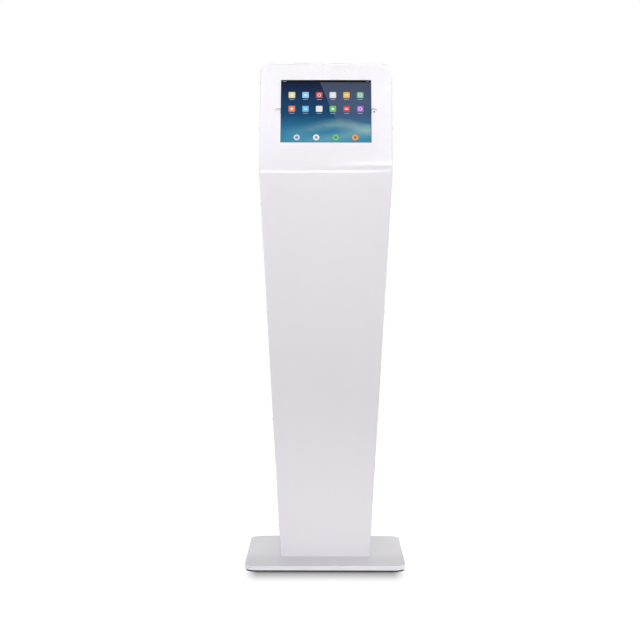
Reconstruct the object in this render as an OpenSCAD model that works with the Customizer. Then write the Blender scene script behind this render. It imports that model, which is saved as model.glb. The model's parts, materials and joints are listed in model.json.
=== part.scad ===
// Floor-standing tablet kiosk: a tapered sheet-steel column folds back into a
// head that holds a tablet behind a window, on a flat rounded base.
// Millimetres. +Z is up, the front faces -Y, and the origin lies on the floor
// under the middle of the base.

/* [Body] */
// Width of the head and of the column's top
body_w = 299; // [285:1:340]
// Width of the column where it meets the base
foot_w = 201; // [170:1:260]
// Height above the floor where the column ends and the fold begins
fold_z = 878; // [700:1:1100]
// Slope length of the head above the fold
head_l = 240; // [234:1:290]
// Lean of the head back from the vertical, in degrees
tilt = 19; // [12:1:30]
// Radius of the fold on the front face
fold_r = 85; // [72:1:110]
// Radius of the head's top corners
corner_r = 27; // [22:1:34]
// Depth from the front face to the rear face
depth = 50; // [46:1:58]
// Distance from the base's front edge to the column's front face
setback = 105; // [80:1:140]

/* [Sheet metal] */
// Thickness of the front panel
panel_t = 2.5; // [1.5:0.1:3.5]
// Depth of the front panel's folded edge
return_d = 22; // [16:1:28]
// Thickness of the side channels
channel_t = 2; // [1.5:0.1:3]
// Width of the channels' rear flange
flange_w = 12; // [10:0.5:13]
// Width of the channels' front lip
lip_w = 9; // [6:0.5:10]
// Thickness of the column back and of the door
cover_t = 2; // [1.5:0.1:3]
// Thickness of the foot plate inside the column
foot_t = 6; // [4:0.5:10]
// Height of the cross rail's tongue behind the column back
tongue_h = 20; // [14:1:30]
// Gap between sheets that slide into each other
sheet_fit = 0.2; // [0.1:0.05:0.5]
// Visible gap around the door and the column back
seam = 0.8; // [0.5:0.1:1.5]

/* [Base] */
// Width of the base
base_w = 356; // [300:1:450]
// Depth of the base
base_d = 356; // [320:1:450]
// Radius of the base's corners
base_r = 27; // [15:1:60]
// Thickness of the lower base plate
base_plate_t = 5; // [4.5:0.5:10]
// Thickness of the upper base cover
base_cover_t = 5; // [3:0.5:8]
// Thickness of the rubber mat under the base
mat_t = 4; // [2:0.5:6]
// Distance of the mat's edge in from the base's edge
mat_inset = 3; // [1:0.5:10]
// Radius of the floor anchor holes
anchor_r = 4.5; // [3:0.25:6]
// Anchor hole spacing from side to side
anchor_x = 140; // [80:1:170]
// Anchor hole spacing from front to back
anchor_y = 100; // [60:1:120]
// Distance of the rear anchor holes from the base's rear edge
anchor_edge = 50; // [30:1:60]

/* [Fasteners] */
// Radius of the bolts that hold the column to the base
bolt_r = 4; // [3:0.5:5]
// Distance of those bolts from the middle, to each side
bolt_x = 70; // [40:1:75]
// Spacing of those bolts from front to back
bolt_y = 20; // [16:1:20]
// Radius of the panel, cover and cradle screws
screw_r = 2; // [1.5:0.25:2.5]
// Radius of those screws' heads
screw_head_r = 3.6; // [3.2:0.1:4]
// Height of those screws' heads
screw_head_h = 1.3; // [1:0.1:2.5]
// Number of screws up each side of the column
side_screws = 4; // [3:1:6]
// Distance of the end ones from the column's foot and top
side_screw_end = 69; // [50:1:90]
// Distance of the head's lower side screws below the window's middle
head_screw_low = 36; // [20:1:60]
// Distance of the head's upper side screws above the window's middle
head_screw_high = 76; // [50:1:80]
// Number of screws up each side of the column back
cover_screws = 3; // [2:1:3]
// Distance of the lowest of them above the base
cover_screw_rise = 60; // [30:1:80]
// Spacing of the column back's side screws
cover_screw_pitch = 260; // [150:1:270]
// Radial gap between a fastener and its hole
hole_fit = 0.1; // [0.05:0.05:0.2]
// Radius of the hinge rivets
rivet_r = 1.5; // [1:0.25:1.5]
// Height of the rivets' heads
rivet_head_h = 0.8; // [0.5:0.1:1.2]
// Number of rivets in each hinge leaf
rivet_count = 6; // [3:1:8]
// Radial gap between a turning pin or plug and its bore
running_fit = 0.05; // [0.03:0.01:0.1]

/* [Window] */
// Lap of the window's edge over the display
window_lap = 0.5; // [0.2:0.1:2]
// Slope distance from the fold to the window's middle
window_s = 121.3; // [116:0.1:125]
// Distance of the home button and the camera from the tablet's ends
port_edge = 10.8; // [9.5:0.1:12]
// Radius of the notches at the home button and the camera
port_r = 6.2; // [5.8:0.1:6.5]

/* [Door] */
// Distance of the hinge axis above the fold's end
hinge_rise = 12; // [9:0.5:16]
// Length of the hinge
hinge_l = 252; // [200:1:260]
// Number of hinge knuckles
knuckles = 9; // [5:2:13]
// Outer radius of a knuckle
knuckle_r = 3.2; // [2.8:0.1:4]
// Radius of the hinge pin
pin_r = 1.5; // [1:0.1:1.8]
// Thickness of the hinge leaves
leaf_t = 1.2; // [0.8:0.1:1.6]
// Width of the door's hinge leaf from the axis
leaf_w = 17; // [14:1:20]
// Depth of the door's stiffening rim
rim_d = 9; // [6:0.5:12]
// Thickness of the door's stiffening rim
rim_t = 1.6; // [1.2:0.1:2]
// Number of vent slots in each bank
vents = 7; // [3:1:8]
// Length of a vent slot
vent_l = 56; // [30:1:64]
// Width of a vent slot
vent_w = 3.6; // [2.5:0.1:4.5]
// Spacing of the vent slots
vent_pitch = 10; // [8:0.5:11]
// Distance of the vent banks from the middle, to each side
vent_x = 62; // [45:1:80]
// Gap between the closed door and the flanges behind it
door_lift = 0.3; // [0.2:0.05:0.6]
// Gap between neighbouring hinge knuckles
knuckle_gap = 0.4; // [0.3:0.05:0.8]
// Clearance around the door's rim inside the opening
door_clear = 2; // [1.5:0.1:3]

/* [Lock] */
// Radius of the lock's barrel
barrel_r = 9.5; // [8.5:0.1:10]
// Length of the barrel behind the door
barrel_l = 4.4; // [4.2:0.1:6]
// Radius of the lock's outer collar
collar_r = 12; // [11:0.5:14]
// Thickness of the lock's outer collar
collar_t = 2; // [1:0.1:3]
// Radius of the turning plug
plug_r = 6; // [5:0.1:7]
// Length of the cam from the plug's axis
cam_l = 23; // [21:0.5:25]
// Width of the cam
cam_w = 12; // [9:0.5:14]
// Thickness of the cam
cam_t = 2; // [1.5:0.1:3]
// Distance of the lock's axis below the door opening's top edge
lock_drop = 14; // [14:0.5:15]
// Thickness of the lock's nut
nut_t = 3.4; // [2.5:0.1:3.6]
// Width of the nut's ring around the barrel
nut_ring = 3.5; // [2.5:0.1:4]
// Gap between the barrel's end and the cam
cam_gap = 0.2; // [0.1:0.05:0.5]
// Radius of the cam's screw
cam_screw_r = 1.5; // [1:0.1:2]
// Length of the cam's screw in the plug
cam_screw_l = 5; // [3:0.5:6]
// Width of the keyway
keyway_w = 1.8; // [1.2:0.1:2.5]
// Height of the keyway
keyway_h = 7; // [5:0.5:9]
// Depth of the keyway
keyway_d = 3; // [2:0.5:4]

/* [Tablet] */
// Length of the tablet
tablet_w = 240; // [220:1:256]
// Height of the tablet, as it lies in the head
tablet_h = 170; // [160:1:176]
// Thickness of the tablet
tablet_t = 7.5; // [6.5:0.1:9]
// Radius of the tablet's corners
tablet_r = 12; // [6:0.5:16]
// Thickness of the tablet's front glass
glass_t = 1.2; // [0.8:0.1:1.5]
// Width of the glass border at each end of the display
end_border = 17; // [16:0.5:20]
// Width of the glass border above and below the display
side_border = 7.5; // [6:0.5:10]
// Wall of the tablet's case
case_t = 1.2; // [0.8:0.1:1.6]
// Radius of the home button
button_r = 5.2; // [4.5:0.1:5.4]
// Length of the home button behind the glass
button_stem = 0.6; // [0.4:0.1:1]
// Gap around the tablet's buttons
button_fit = 0.15; // [0.1:0.05:0.3]
// Radius of the camera lens
lens_r = 1.7; // [1:0.1:3]
// Length of the camera behind the glass
lens_stem = 1; // [0.6:0.1:2]
// Length of the power button
power_l = 11; // [8:0.5:16]
// Length of the volume rocker
rocker_l = 22; // [16:0.5:30]
// Width of both side buttons
side_button_h = 2.6; // [2:0.1:3]
// Height of the side buttons above the case's edge
side_button_out = 0.4; // [0.3:0.1:0.4]
// Length of the charging port
port_slot_w = 9; // [6:0.5:12]
// Width of the charging port
port_slot_h = 2.8; // [2:0.1:3.4]
// Distance of the power button from the tablet's lower edge
power_rise = 22; // [16:1:60]
// Distance of the volume rocker from the tablet's right edge
rocker_edge = 45; // [35:1:80]
// Radius of the volume rocker's pivot
rocker_pivot_r = 0.8; // [0.5:0.1:1]
// Width of the battery
battery_w = 144; // [100:1:150]
// Height of the battery
battery_h = 136; // [100:1:146]
// Distance of the battery's middle from the tablet's middle
battery_shift = 5; // [0:1:10]
// Width of the board
board_w = 28; // [15:1:30]
// Height of the board
board_h = 68; // [40:1:70]
// Thickness of the board with its parts
board_t = 2.4; // [1:0.1:3]
// Gap between the board and the battery
board_gap = 7; // [2:1:8]
// Distance of the board's middle below the tablet's middle
board_drop = 37; // [0:1:38]

/* [Cradle] */
// Thickness of the foam gasket between panel and tablet
gasket_t = 1; // [0.5:0.1:2]
// Distance of the gasket's inner edge from the window
gasket_inset = 2; // [1:0.5:4]
// Thickness of the pads behind the tablet
pad_t = 1.5; // [1:0.1:3]
// Thickness of the cradle's back and rim
cradle_t = 2.2; // [1.6:0.1:3]
// Gap between the tablet and the cradle's rim
cradle_fit = 0.4; // [0.3:0.1:0.8]
// Radius of the cradle's standoffs
standoff_r = 4; // [3.5:0.1:4]
// Spacing of the standoffs from side to side
standoff_pitch = 100; // [60:1:110]
// Width of a pad behind the tablet
pad_w = 24; // [12:1:30]
// Height of a pad behind the tablet
pad_h = 16; // [10:1:20]
// Distance of the pads from the tablet's edges
pad_edge = 8; // [4:1:12]
// Width of the cradle's middle bar
cradle_bar_mid = 40; // [20:1:60]
// Distance of the cradle's openings from the tablet's ends
cradle_bar_end = 20; // [15:1:40]
// Distance of the cradle's openings from the tablet's long edges
cradle_bar_side = 42; // [30:1:60]

/* [Cable outlet] */
// Radius of the cable outlet
outlet_r = 10; // [6:0.5:12]
// Height of the outlet's axis above the base
outlet_z = 42; // [30:1:80]
// Wall of the rubber grommet
grommet_t = 3; // [2:0.5:4]

/* [Hidden] */
$fn = 64;
eps = 1;

// Finishes
white_coat = [0.93, 0.93, 0.95];
black_rubber = [0.06, 0.06, 0.065];
zinc = [0.68, 0.69, 0.71];
dark_plastic = [0.1, 0.1, 0.11];
silver = [0.8, 0.81, 0.83];

// Levels of the base and the frames of column and head
plate_z = mat_t;
seat_z = plate_z + base_plate_t;
deck_z = seat_z + base_cover_t;
front_y = setback - base_d / 2;
half_w = body_w / 2;
half_foot = foot_w / 2;
fold_ease = 0.04;
fold_lap = 0.25;
side_lean = atan((half_w - half_foot) / (fold_z - deck_z));

// Insets from the outer outline, and depths from the front face
web_out = panel_t + sheet_fit;
web_in = web_out + channel_t;
flange_in = web_in + flange_w;
flange_d1 = depth - cover_t;
flange_d0 = flange_d1 - channel_t;
cover_in = web_in + seam;

// Door and hinge
hinge_s = hinge_rise;
door_d0 = flange_d1 + door_lift;
door_d1 = depth + door_lift;
hinge_d = door_d1 + door_lift + knuckle_r;
knuckle_pitch = hinge_l / knuckles;
leaf_step = 0.6;
leaf_start = knuckle_r + leaf_step;
leaf_inset = 1;
fixed_leaf_w = hinge_rise - leaf_inset;
rim_in = flange_in + door_clear;
opening_top = head_l - flange_in;
lock_s = opening_top - lock_drop;
vent_s = (hinge_s + lock_s) / 2;

// Lock depths
barrel_d = door_d0 - barrel_l;
nut_r = barrel_r + nut_ring;
cam_d1 = barrel_d - cam_gap;
cam_d0 = cam_d1 - cam_t;
cam_head_h = 2;
cam_socket_d = 1;
collar_d = door_d1 + collar_t;

// Window and ports, from the tablet behind them
display_w = tablet_w - 2 * end_border;
display_h = tablet_h - 2 * side_border;
window_w = display_w - 2 * window_lap;
window_h = display_h - 2 * window_lap;
port_x = tablet_w / 2 - port_edge;

// Tablet and cradle depths
glass_d = panel_t + gasket_t;
case_d0 = glass_d + glass_t;
case_d1 = glass_d + tablet_t;
cradle_d0 = case_d1 + pad_t;
cradle_d1 = cradle_d0 + cradle_t;
rim_out = cradle_fit + cradle_t;
ear_gap = 0.6;
standoff_s = tablet_h / 2 + rim_out + ear_gap + standoff_r;
standoff_floor = 1;
ear_rim = 1;
ear_r = standoff_r + ear_rim;
pad_r = 2;
pocket_gap = 0.6;
battery_r = 3;
board_r = 2;
side_button_tail = 0.2;
side_button_in = case_t + side_button_tail;
side_button_d = (case_d0 + case_d1 - case_t) / 2;
power_s = power_rise - tablet_h / 2;
rocker_x = tablet_w / 2 - rocker_edge;
notch_margin = 5;

// Half width of the column's outer outline at a height
function column_half(z) = half_foot + (half_w - half_foot) * (z - deck_z) / (fold_z - deck_z);

// Frames: x across, y in from the front face, z up the column or up the head's slope
module column_frame() {
    translate([0, front_y, 0]) children();
}

module head_frame() {
    translate([0, front_y + fold_r, fold_z]) rotate([-tilt, 0, 0]) translate([0, -fold_r, 0]) children();
}

module tablet_frame() {
    head_frame() translate([0, 0, window_s]) children();
}

// A flat outline given thickness between two depths
module slab(d0, d1) {
    translate([0, d1, 0]) rotate([90, 0, 0]) linear_extrude(d1 - d0) children();
}

// A round bar along the depth between two depths
module depth_bar(d0, d1, r, sides = $fn) {
    translate([0, d1, 0]) rotate([90, 0, 0]) cylinder(h = d1 - d0, r = r, $fn = sides);
}

// A section given as depth and side-to-side position, swept round the fold.
// Its ends lap into the flat sheets, and its skin lies a hair inside theirs.
module fold_sweep() {
    translate([0, front_y + fold_r, fold_z])
        rotate([90, 0, -90])
            rotate([0, 0, -fold_lap])
                rotate_extrude(angle = tilt + 2 * fold_lap) children();
}

module fold_rect(d0, d1, x0, x1) {
    translate([fold_r - d1 + fold_ease, fold_ease - x1])
        square([d1 - d0 - 2 * fold_ease, x1 - x0 - 2 * fold_ease]);
}

module both_sides() {
    children();
    mirror([1, 0, 0]) children();
}

// Outlines
module rounded_rect(w, h, r) {
    square([w - 2 * r, h], center = true);
    square([w, h - 2 * r], center = true);
    for (x = [-1, 1], y = [-1, 1])
        translate([x * (w / 2 - r), y * (h / 2 - r)]) circle(r);
}

module slot_outline(l, w) {
    square([l - w, w], center = true);
    for (x = [-1, 1]) translate([x * (l - w) / 2, 0]) circle(w / 2);
}

module column_outline(inset, z0, z1) {
    polygon([
        [-column_half(z0) + inset, z0], [column_half(z0) - inset, z0],
        [column_half(z1) - inset, z1], [-column_half(z1) + inset, z1]
    ]);
}

module column_strip(inset0, inset1, z0, z1) {
    polygon([
        [column_half(z0) - inset1, z0], [column_half(z0) - inset0, z0],
        [column_half(z1) - inset0, z1], [column_half(z1) - inset1, z1]
    ]);
}

// The head's outline, open downwards to the slope position s0
module head_outline(inset, s0 = 0) {
    r = corner_r - inset;
    w = half_w - inset;
    top = head_l - inset;
    translate([-w, s0]) square([2 * w, top - r - s0]);
    translate([r - w, s0]) square([2 * (w - r), top - s0]);
    for (x = [-1, 1]) translate([x * (w - r), top - r]) circle(r);
}

module head_band(inset0, inset1) {
    difference() {
        head_outline(inset0);
        head_outline(inset1, -eps);
    }
}

// Places of the fasteners
module base_bolt_places() {
    for (x = [-1, 1], y = [-1, 1])
        translate([x * bolt_x, front_y + depth / 2 + y * bolt_y / 2, 0]) children();
}

module anchor_places() {
    for (x = [-1, 1], y = [0, 1])
        translate([x * anchor_x / 2, base_d / 2 - anchor_edge - y * anchor_y, 0]) children();
}

// Side screws: local +Z points out of the side
side_screw_pitch = (fold_z - deck_z - 2 * side_screw_end) / (side_screws - 1);
panel_screw_slopes = [window_s - head_screw_low, window_s + head_screw_high];
panel_screw_d = (return_d + panel_t + channel_t) / 2;
module panel_screw_places() {
    both_sides() {
        for (i = [0 : side_screws - 1]) {
            z = deck_z + side_screw_end + i * side_screw_pitch;
            column_frame() translate([column_half(z), panel_screw_d, z])
                rotate([0, 90 + side_lean, 0]) children();
        }
        for (s = panel_screw_slopes)
            head_frame() translate([half_w, panel_screw_d, s]) rotate([0, 90, 0]) children();
    }
}

// Back cover screws: local +Z points out of the rear face
module back_screw_places() {
    both_sides() {
        for (i = [0 : cover_screws - 1]) {
            z = deck_z + cover_screw_rise + i * cover_screw_pitch;
            column_frame() translate([column_half(z) - web_in - flange_w / 2, depth, z])
                rotate([-90, 0, 0]) children();
        }
        column_frame() translate([half_w / 2, depth, fold_z - tongue_h / 2])
            rotate([-90, 0, 0]) children();
    }
}

module standoff_places() {
    for (x = [-1, 1], s = [-1, 1])
        tablet_frame() translate([x * standoff_pitch / 2, 0, s * standoff_s]) children();
}

// A button-head screw: the head stands on z = 0, the shank goes down
screw_tip = 1;
socket_r = 0.7 * screw_r;
socket_d = 0.6 * screw_head_h;
module button_screw(grip) {
    difference() {
        union() {
            cylinder(h = screw_head_h, r = screw_head_r);
            translate([0, 0, -grip]) cylinder(h = grip + screw_head_h / 2, r = screw_r);
        }
        translate([0, 0, screw_head_h - socket_d]) cylinder(h = screw_head_h, r = socket_r, $fn = 6);
    }
}

module screw_hole(length) {
    translate([0, 0, -length]) cylinder(h = length + eps, r = screw_r + hole_fit);
}

// Base
module floor_mat() {
    color(black_rubber) difference() {
        linear_extrude(mat_t)
            rounded_rect(base_w - 2 * mat_inset, base_d - 2 * mat_inset, base_r - mat_inset);
        anchor_places() translate([0, 0, -eps]) cylinder(h = mat_t + 2 * eps, r = anchor_r);
    }
}

countersink_h = 0.85 * bolt_r;
bolt_head_r = 1.9 * bolt_r;
bolt_socket_r = 0.6 * bolt_r;
bolt_socket_d = 0.7 * countersink_h;
module base_plate() {
    color(white_coat) difference() {
        translate([0, 0, plate_z]) linear_extrude(base_plate_t) rounded_rect(base_w, base_d, base_r);
        translate([0, 0, plate_z - eps]) {
            anchor_places() cylinder(h = base_plate_t + 2 * eps, r = anchor_r);
            base_bolt_places() cylinder(h = base_plate_t + 2 * eps, r = bolt_r + hole_fit);
        }
        base_bolt_places() translate([0, 0, plate_z])
            cylinder(h = countersink_h, r1 = bolt_head_r + hole_fit, r2 = bolt_r + hole_fit);
    }
}

module base_cover() {
    color(white_coat) difference() {
        translate([0, 0, seat_z]) linear_extrude(base_cover_t) rounded_rect(base_w, base_d, base_r);
        translate([0, 0, seat_z - eps]) {
            anchor_places() cylinder(h = base_cover_t + 2 * eps, r = anchor_r);
            base_bolt_places() cylinder(h = base_cover_t + 2 * eps, r = bolt_r + hole_fit);
        }
    }
}

module base_bolts() {
    color(zinc) base_bolt_places() difference() {
        union() {
            translate([0, 0, plate_z]) cylinder(h = countersink_h, r1 = bolt_head_r, r2 = bolt_r);
            translate([0, 0, plate_z + countersink_h])
                cylinder(h = deck_z + foot_t - plate_z - countersink_h, r = bolt_r);
        }
        translate([0, 0, plate_z - eps]) cylinder(h = bolt_socket_d + eps, r = bolt_socket_r, $fn = 6);
    }
}

// Chassis
module foot_plate() {
    color(zinc) difference() {
        column_frame() slab(panel_t + channel_t, flange_d0)
            column_outline(web_in, deck_z, deck_z + foot_t);
        base_bolt_places() translate([0, 0, deck_z - eps])
            cylinder(h = foot_t + 2 * eps, r = bolt_r + hole_fit);
    }
}

// The channel's web, rear flange and front lip at the column's right side
module column_channel() {
    slab(panel_t, depth) column_strip(web_out, web_in, deck_z, fold_z);
    slab(flange_d0, flange_d1) column_strip(web_in, flange_in, deck_z, fold_z);
    slab(panel_t, panel_t + channel_t) column_strip(web_in, web_in + lip_w, deck_z, fold_z);
}

module fold_channel() {
    fold_rect(panel_t, depth, half_w - web_in, half_w - web_out);
    web_mid = half_w - (web_in + web_out) / 2;
    fold_rect(flange_d0, flange_d1, half_w - flange_in, web_mid);
    fold_rect(panel_t, panel_t + channel_t, half_w - web_in - lip_w, web_mid);
}

module head_channel() {
    slab(panel_t, depth) head_band(web_out, web_in);
    slab(flange_d0, flange_d1) head_band(web_in, flange_in);
    slab(panel_t, panel_t + channel_t) head_band(web_in, web_in + lip_w);
}

channel_split_gap = 8;
channel_split_s = head_l - corner_r - channel_split_gap;
module right_half_below_split() {
    translate([0, -eps, -eps]) cube([half_w + eps, depth + 2 * eps, channel_split_s + eps]);
}

module side_channel() {
    color(white_coat) difference() {
        union() {
            column_frame() column_channel();
            fold_sweep() fold_channel();
            head_frame() intersection() {
                head_channel();
                right_half_below_split();
            }
        }
        panel_screw_places() screw_hole(web_in + eps);
        back_screw_places() screw_hole(cover_t + channel_t + eps);
    }
}

module right_channel() {
    side_channel();
}

module left_channel() {
    mirror([1, 0, 0]) side_channel();
}

module top_channel() {
    color(white_coat) difference() {
        head_frame() intersection() {
            head_channel();
            translate([-half_w, -eps, channel_split_s])
                cube([body_w, depth + 2 * eps, head_l - channel_split_s]);
        }
        panel_screw_places() screw_hole(web_in + eps);
    }
}

// Bridges the two channels at the fold and carries the hinge
module cross_rail() {
    inner_half = half_w - flange_in - sheet_fit;
    outer_half = half_w - web_in - sheet_fit;
    color(white_coat) difference() {
        union() {
            column_frame() slab(flange_d0, flange_d1)
                column_outline(flange_in + sheet_fit, fold_z - tongue_h, fold_z);
            fold_sweep() {
                fold_rect(flange_d0, flange_d1 + cover_t / 2, -inner_half, inner_half);
                fold_rect(flange_d1, depth, -outer_half, outer_half);
            }
            head_frame() {
                slab(flange_d0, flange_d1) translate([-inner_half, 0])
                    square([2 * inner_half, hinge_rise - seam]);
                slab(flange_d1, depth) translate([-outer_half, 0])
                    square([2 * outer_half, hinge_rise - seam]);
            }
        }
        back_screw_places() screw_hole(cover_t + channel_t + eps);
        frame_rivet_places() rivet_hole();
    }
}

// Outer shells
// The window runs out into a round notch at the home button and at the camera
module window_outline() {
    square([window_w, window_h], center = true);
    square([2 * port_x, 2 * port_r], center = true);
    both_sides() translate([port_x, 0]) circle(port_r);
}

module front_panel() {
    color(white_coat) difference() {
        union() {
            column_frame() {
                slab(0, panel_t) column_outline(0, deck_z, fold_z);
                both_sides() slab(0, return_d) column_strip(0, panel_t, deck_z, fold_z);
            }
            fold_sweep() {
                fold_rect(0, panel_t, -half_w, half_w);
                fold_rect(0, return_d, half_w - panel_t, half_w);
                fold_rect(0, return_d, -half_w, panel_t - half_w);
            }
            head_frame() {
                slab(0, panel_t) head_outline(0);
                slab(0, return_d) head_band(0, panel_t);
            }
        }
        tablet_frame() {
            slab(-eps, panel_t + eps) window_outline();
        }
        panel_screw_places() screw_hole(web_in + eps);
    }
}

module panel_screws() {
    color(zinc) panel_screw_places() button_screw(web_in + screw_tip);
}

module column_back() {
    color(white_coat) difference() {
        column_frame() slab(flange_d1, depth) column_outline(cover_in, deck_z + seam, fold_z - seam);
        column_frame() translate([0, 0, deck_z + outlet_z])
            depth_bar(flange_d1 - eps, depth + eps, outlet_r + grommet_t);
        back_screw_places() screw_hole(cover_t + channel_t + eps);
    }
}

module back_screws() {
    color(zinc) back_screw_places() button_screw(cover_t + channel_t + screw_tip);
}

// Rubber ring that grips the edge of the outlet's hole
module cable_grommet() {
    seat_r = outlet_r + grommet_t;
    lip_r = seat_r + grommet_t;
    color(black_rubber) column_frame() translate([0, depth + grommet_t, deck_z + outlet_z])
        rotate([90, 0, 0]) rotate_extrude() polygon([
            [outlet_r, 0], [lip_r, 0], [lip_r, grommet_t], [seat_r, grommet_t],
            [seat_r, grommet_t + cover_t], [lip_r, grommet_t + cover_t],
            [lip_r, 2 * grommet_t + cover_t], [outlet_r, 2 * grommet_t + cover_t]
        ]);
}

// Hinge
module hinge_frame() {
    head_frame() translate([0, hinge_d, hinge_s]) children();
}

// Knuckles whose number is even or odd, with the tabs that join them to a leaf.
// up is 1 for the leaf above the axis and -1 for the one below.
module hinge_leaf(first, up, width, leaf_d) {
    bore = pin_r + running_fit;
    back = leaf_d - hinge_d;
    difference() {
        union() {
            slab(back, back + leaf_t)
                translate([-hinge_l / 2, up > 0 ? leaf_start : -width])
                    square([hinge_l, width - leaf_start]);
            for (i = [first : 2 : knuckles - 1]) {
                x = -hinge_l / 2 + i * knuckle_pitch + knuckle_gap / 2;
                l = knuckle_pitch - knuckle_gap;
                translate([x, 0, 0]) rotate([0, 90, 0]) cylinder(h = l, r = knuckle_r);
                slab(back, back + leaf_t)
                    translate([x, up > 0 ? seam : -leaf_start - eps])
                        square([l, leaf_start + eps - seam]);
            }
        }
        translate([-hinge_l / 2 - eps, 0, 0]) rotate([0, 90, 0]) cylinder(h = hinge_l + 2 * eps, r = bore);
    }
}

rivet_head_r = 1.9 * rivet_r;
module rivet_row(s, leaf_d) {
    pitch = hinge_l / rivet_count;
    for (i = [0 : rivet_count - 1])
        head_frame() translate([-hinge_l / 2 + (i + 0.5) * pitch, leaf_d + leaf_t, hinge_s + s])
            rotate([-90, 0, 0]) children();
}

module frame_rivet_places() {
    rivet_row(-(leaf_start + fixed_leaf_w) / 2, depth) children();
}

module door_rivet_places() {
    rivet_row((leaf_start + leaf_w) / 2, door_d1) children();
}

module rivet_hole() {
    translate([0, 0, -leaf_t - cover_t - channel_t - eps])
        cylinder(h = leaf_t + cover_t + channel_t + 2 * eps, r = rivet_r + hole_fit);
}

module rivet() {
    cylinder(h = rivet_head_h, r1 = rivet_head_r, r2 = rivet_r);
    translate([0, 0, -leaf_t - cover_t]) cylinder(h = leaf_t + cover_t, r = rivet_r);
}

module hinge_frame_leaf() {
    color(zinc) difference() {
        hinge_frame() hinge_leaf(0, -1, fixed_leaf_w, depth);
        frame_rivet_places() rivet_hole();
    }
}

module hinge_door_leaf() {
    color(zinc) difference() {
        hinge_frame() hinge_leaf(1, 1, leaf_w, door_d1);
        door_rivet_places() rivet_hole();
    }
}

module hinge_pin() {
    color(zinc) hinge_frame() translate([-hinge_l / 2, 0, 0]) rotate([0, 90, 0])
        cylinder(h = hinge_l, r = pin_r);
}

module hinge_frame_rivets() {
    color(zinc) frame_rivet_places() rivet();
}

module hinge_door_rivets() {
    color(zinc) door_rivet_places() rivet();
}

// Door
module door_outline(inset, s0) {
    intersection() {
        head_outline(inset, hinge_s);
        translate([-half_w, s0]) square([body_w, head_l]);
    }
}

module tablet_door() {
    rim_s = hinge_s + leaf_start;
    lock_gap = cam_l + door_clear;
    color(white_coat) difference() {
        head_frame() {
            slab(door_d0, door_d1) door_outline(cover_in, hinge_s + seam);
            slab(door_d0 - rim_d, door_d0) difference() {
                door_outline(rim_in, rim_s);
                door_outline(rim_in + rim_t, rim_s + rim_t);
                translate([-lock_gap, lock_s]) square([2 * lock_gap, head_l - lock_s]);
            }
        }
        head_frame() {
            slab(door_d0 - eps, door_d1 + eps)
                for (x = [-1, 1], i = [0 : vents - 1])
                    translate([x * vent_x, vent_s + (i - (vents - 1) / 2) * vent_pitch])
                        slot_outline(vent_l, vent_w);
            translate([0, 0, lock_s]) depth_bar(door_d0 - eps, door_d1 + eps, barrel_r + hole_fit);
        }
        door_rivet_places() rivet_hole();
    }
}

// Lock
module lock_frame() {
    head_frame() translate([0, 0, lock_s]) children();
}

module lock_barrel() {
    color(silver) lock_frame() difference() {
        union() {
            depth_bar(barrel_d, door_d1 + collar_t / 2, barrel_r);
            depth_bar(door_d1, collar_d, collar_r);
        }
        depth_bar(barrel_d - eps, collar_d + eps, plug_r + running_fit);
    }
}

module lock_nut() {
    color(zinc) lock_frame() difference() {
        depth_bar(door_d0 - nut_t, door_d0, nut_r, 6);
        depth_bar(door_d0 - nut_t - eps, door_d0 + eps, barrel_r + hole_fit);
    }
}

module lock_plug() {
    color(silver) lock_frame() difference() {
        depth_bar(cam_d1, collar_d, plug_r);
        slab(collar_d - keyway_d, collar_d + eps) square([keyway_w, keyway_h], center = true);
        depth_bar(cam_d1 - eps, cam_d1 + cam_screw_l, cam_screw_r + hole_fit);
    }
}

// The cam points sideways when unlocked and turns up behind the top flange
module lock_cam() {
    tip = cam_l - cam_w / 2;
    color(zinc) lock_frame() difference() {
        slab(cam_d0, cam_d1) {
            circle(cam_w / 2);
            translate([-tip, -cam_w / 2]) square([tip, cam_w]);
            translate([-tip, 0]) circle(cam_w / 2);
        }
        depth_bar(cam_d0 - eps, cam_d1 + eps, cam_screw_r + hole_fit);
    }
}

module lock_cam_screw() {
    color(zinc) lock_frame() difference() {
        union() {
            depth_bar(cam_d0 - cam_head_h, cam_d0, 2 * cam_screw_r);
            depth_bar(cam_d0 - cam_head_h / 2, cam_d1 + cam_screw_l - hole_fit, cam_screw_r);
        }
        depth_bar(cam_d0 - cam_head_h - eps, cam_d0 - cam_head_h + cam_socket_d, cam_screw_r, 6);
    }
}

// Cradle
module window_gasket() {
    color(dark_plastic) tablet_frame() difference() {
        slab(panel_t, glass_d) difference() {
            rounded_rect(tablet_w - 2 * gasket_inset, tablet_h - 2 * gasket_inset, tablet_r - gasket_inset);
            square([window_w + 2 * gasket_inset, window_h + 2 * gasket_inset], center = true);
        }
        both_sides() translate([port_x, 0, 0]) depth_bar(panel_t - eps, glass_d + eps, port_r + gasket_inset);
    }
}

// Notches beside the buttons and the charging port, through the cradle's rim
module cradle_notches() {
    band = rim_out + 2 * eps;
    power_gap = power_l + 2 * notch_margin;
    rocker_gap = rocker_l + 2 * notch_margin;
    charge_gap = port_slot_w + 4 * notch_margin;
    translate([tablet_w / 2 - eps, power_s - power_gap / 2]) square([band, power_gap]);
    translate([rocker_x - rocker_gap / 2, -tablet_h / 2 + eps - band]) square([rocker_gap, band]);
    translate([eps - tablet_w / 2 - band, -charge_gap / 2]) square([band, charge_gap]);
}

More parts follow.
